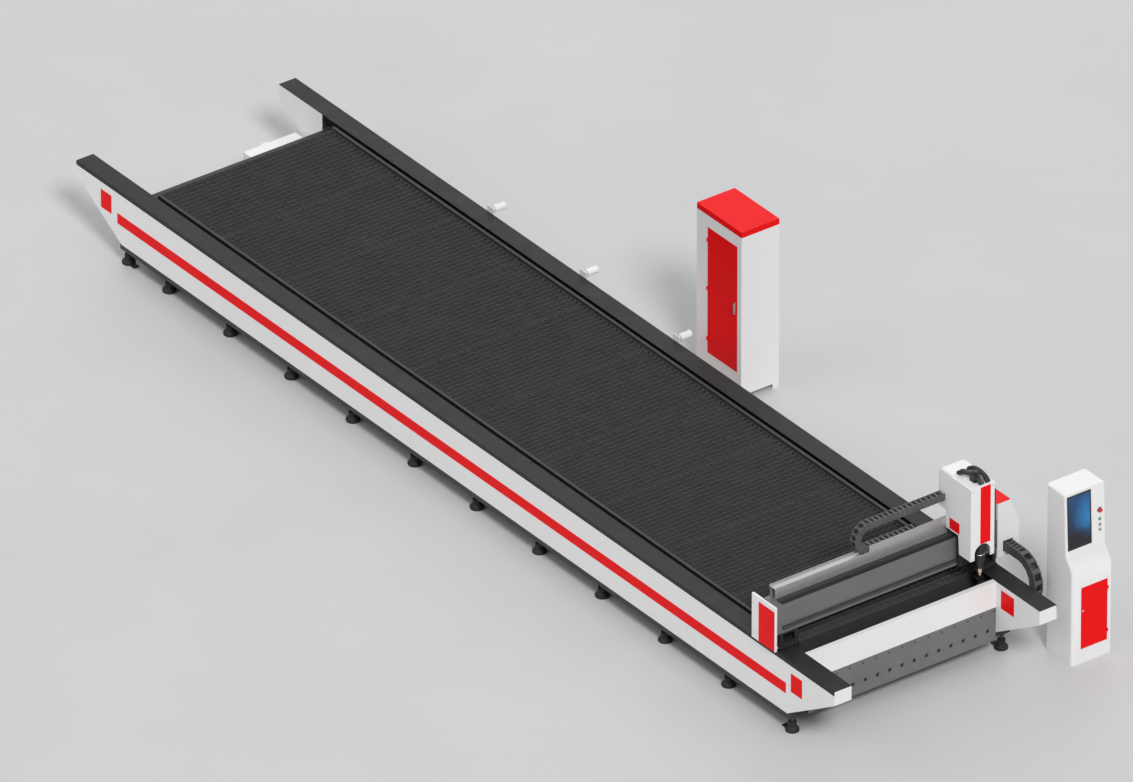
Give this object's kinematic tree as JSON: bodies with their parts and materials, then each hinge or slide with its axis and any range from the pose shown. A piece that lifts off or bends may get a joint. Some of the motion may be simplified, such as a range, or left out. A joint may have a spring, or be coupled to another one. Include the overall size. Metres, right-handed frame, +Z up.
{
  "type": "gantry fiber laser cutting machine",
  "caption": "Long open-bed gantry laser cutter for metal sheet: slatted bed between two rails, bridge with cutting head, drag chains, control console and laser cabinet.",
  "frame": {"origin": "on the floor under the centre of the bed, midway between the four corner anchor holes", "axes": "+X along the bed towards the end where the gantry parks, +Y across it towards the cabinet side, +Z up"},
  "size_m": [12.6, 3.892, 2.16],
  "materials": {
    "frame_grey": "satin",
    "white_paint": "gloss",
    "red_paint": "gloss",
    "cover_black": "satin",
    "foot_black": "matte",
    "slat_steel": "matte",
    "guide_steel": "satin",
    "anodised": "satin",
    "tray_alu": "satin",
    "chain_plastic": "matte",
    "roller_plastic": "satin",
    "motor_black": "satin",
    "head_black": "satin",
    "nozzle_brass": "satin",
    "screen_glass": "gloss",
    "button_red": "gloss",
    "button_green": "gloss"
  },
  "bodies": {
    "bed": {"side_beams": "frame_grey", "cross_members": "frame_grey", "front_base": "frame_grey", "slat_crossbars": "frame_grey", "slat_bars": "frame_grey", "side_panel_left": "white_paint", "side_panel_right": "white_paint", "end_shells": "white_paint", "front_panel": "white_paint", "exhaust_box": "white_paint", "console_shell": "white_paint", "cabinet_shell": "white_paint", "roller_brackets": "white_paint", "side_trim": "red_paint", "cabinet_cap": "red_paint", "rail_cover_left": "cover_black", "rail_cover_right": "cover_black", "x_chain_tray": "cover_black", "foot_pads": "foot_black", "slats": "slat_steel", "slag_pans": "slat_steel", "x_guide_rails": "guide_steel", "x_racks": "guide_steel", "foot_screws": "guide_steel", "x_chain_lower": "chain_plastic", "laser_source": "motor_black", "console_screen": "screen_glass"},
    "gantry": {"gantry_beam": "anodised", "saddle_left": "cover_black", "saddle_right": "cover_black", "x_guide_blocks": "guide_steel", "x_motors": "motor_black", "end_cover_left": "white_paint", "end_box_right": "white_paint", "end_trim": "red_paint", "y_guide_rails": "guide_steel", "y_chain_tray": "tray_alu", "y_chain_lower": "chain_plastic", "x_chain_upper": "chain_plastic"},
    "carriage": {"carriage_plate": "cover_black", "y_guide_blocks": "guide_steel", "z_housing": "white_paint", "top_hood": "white_paint", "housing_trim": "red_paint", "z_motor": "motor_black", "y_chain_upper": "chain_plastic"},
    "head": {"z_slide": "guide_steel", "cutting_head": "head_black", "nozzle": "nozzle_brass"},
    "long_chain_bend": {"x_chain_bend": "chain_plastic"},
    "cross_chain_bend": {"y_chain_bend": "chain_plastic"},
    "pinion_left": {"x_pinion_left": "guide_steel"},
    "pinion_right": {"x_pinion_right": "guide_steel"},
    "roller_1": {"chain_roller_1": "roller_plastic"},
    "roller_2": {"chain_roller_2": "roller_plastic"},
    "roller_3": {"chain_roller_3": "roller_plastic"},
    "console_door": {"console_door": "red_paint"},
    "cabinet_door": {"cabinet_door": "red_paint"},
    "estop": {"estop_button": "button_red"},
    "start": {"start_button": "button_green"}
  },
  "joints": [
    {"name": "gantry_slide", "type": "slide", "parent": "bed", "child": "gantry", "axis": [1, 0, 0], "range_m": [-10.2, 0.1], "deforming": ["x_chain_lower", "x_chain_upper"]},
    {"name": "carriage_slide", "type": "slide", "parent": "gantry", "child": "carriage", "axis": [0, 1, 0], "range_m": [-1.78, 0.07], "deforming": ["y_chain_lower", "y_chain_upper"]},
    {"name": "head_slide", "type": "slide", "parent": "carriage", "child": "head", "axis": [0, 0, 1], "range_m": [-0.12, 0]},
    {"name": "long_chain_roll", "type": "slide", "parent": "bed", "child": "long_chain_bend", "axis": [1, 0, 0], "range_m": [-5.11, 0.06]},
    {"name": "cross_chain_roll", "type": "slide", "parent": "gantry", "child": "cross_chain_bend", "axis": [0, 1, 0], "range_m": [-0.9, 0.045]},
    {"name": "pinion_right_spin", "type": "hinge", "parent": "gantry", "child": "pinion_right", "pos_m": [5.08, 1.129, 0.711], "axis": [0, 0, 1], "continuous": true},
    {"name": "pinion_left_spin", "type": "hinge", "parent": "gantry", "child": "pinion_left", "pos_m": [5.08, -1.129, 0.711], "axis": [0, 0, 1], "continuous": true},
    {"name": "console_door_hinge", "type": "hinge", "parent": "bed", "child": "console_door", "pos_m": [6.226, 2.05, 0.565], "axis": [0, 0, 1], "range_deg": [0, 110]},
    {"name": "cabinet_door_hinge", "type": "hinge", "parent": "bed", "child": "cabinet_door", "pos_m": [-0.284, 2.024, 1.025], "axis": [0, 0, -1], "range_deg": [0, 110]},
    {"name": "estop_press", "type": "slide", "parent": "bed", "child": "estop", "axis": [-0.9991, 0, -0.0416], "range_m": [0, 0.005], "stiffness_N_per_m": 800},
    {"name": "start_press", "type": "slide", "parent": "bed", "child": "start", "axis": [-0.9991, 0, -0.0416], "range_m": [0, 0.003], "stiffness_N_per_m": 500},
    {"name": "roller_1_spin", "type": "hinge", "parent": "bed", "child": "roller_1", "pos_m": [-3, 1.46, 0.88], "axis": [0, 1, 0], "continuous": true},
    {"name": "roller_2_spin", "type": "hinge", "parent": "bed", "child": "roller_2", "pos_m": [-1.45, 1.46, 0.88], "axis": [0, 1, 0], "continuous": true},
    {"name": "roller_3_spin", "type": "hinge", "parent": "bed", "child": "roller_3", "pos_m": [0.1, 1.46, 0.88], "axis": [0, 1, 0], "continuous": true}
  ],
  "couplings": [
    {"joint": "long_chain_roll", "follows": "gantry_slide", "ratio": 0.5},
    {"joint": "cross_chain_roll", "follows": "carriage_slide", "ratio": 0.5},
    {"joint": "pinion_right_spin", "follows": "gantry_slide", "rad_per_m": 27.778},
    {"joint": "pinion_left_spin", "follows": "gantry_slide", "rad_per_m": -27.778}
  ]
}
